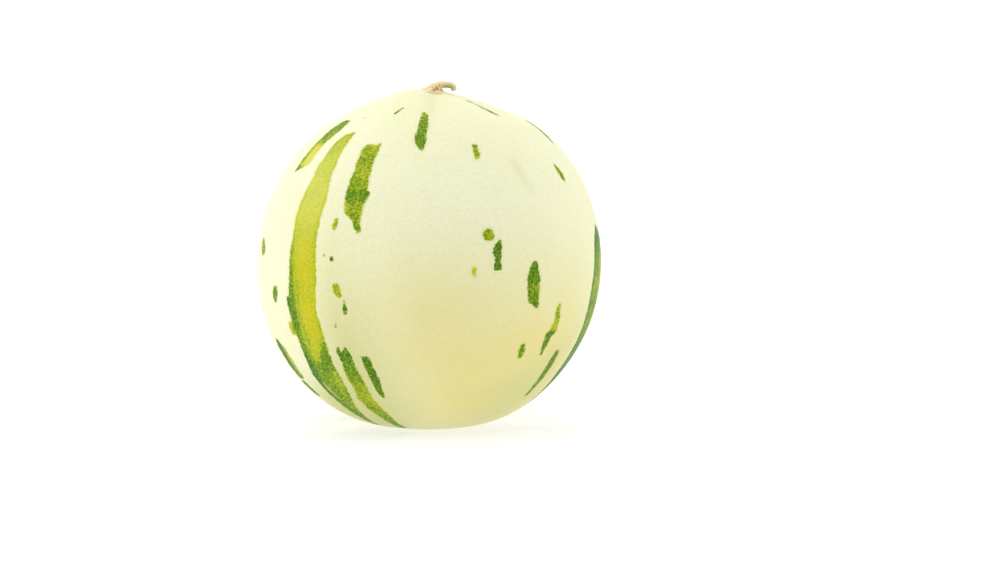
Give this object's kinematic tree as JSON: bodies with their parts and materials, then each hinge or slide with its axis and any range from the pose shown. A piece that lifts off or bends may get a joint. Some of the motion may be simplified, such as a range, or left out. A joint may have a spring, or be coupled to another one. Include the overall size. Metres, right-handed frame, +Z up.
{
  "type": "snowball melon",
  "caption": "Whole round melon with smooth cream skin, broken green and yellow stripes and the dry hooked stub of its stem, standing on its blossom end.",
  "frame": {"origin": "middle of the flat spot at the blossom end, which the melon rests on", "axes": "+Z up towards the stem, +X to the right seen from the front, -Y towards the front, the side with the broad stripe"},
  "size_m": [0.1346, 0.135, 0.1348],
  "materials": {
    "melon_skin": null,
    "dry_stem": "matte, dry, ribbed and corky, tan with red-brown patches at the foot and an olive tip"
  },
  "bodies": {
    "root": {"fruit": "melon_skin", "stem": "dry_stem"}
  },
  "joints": []
}
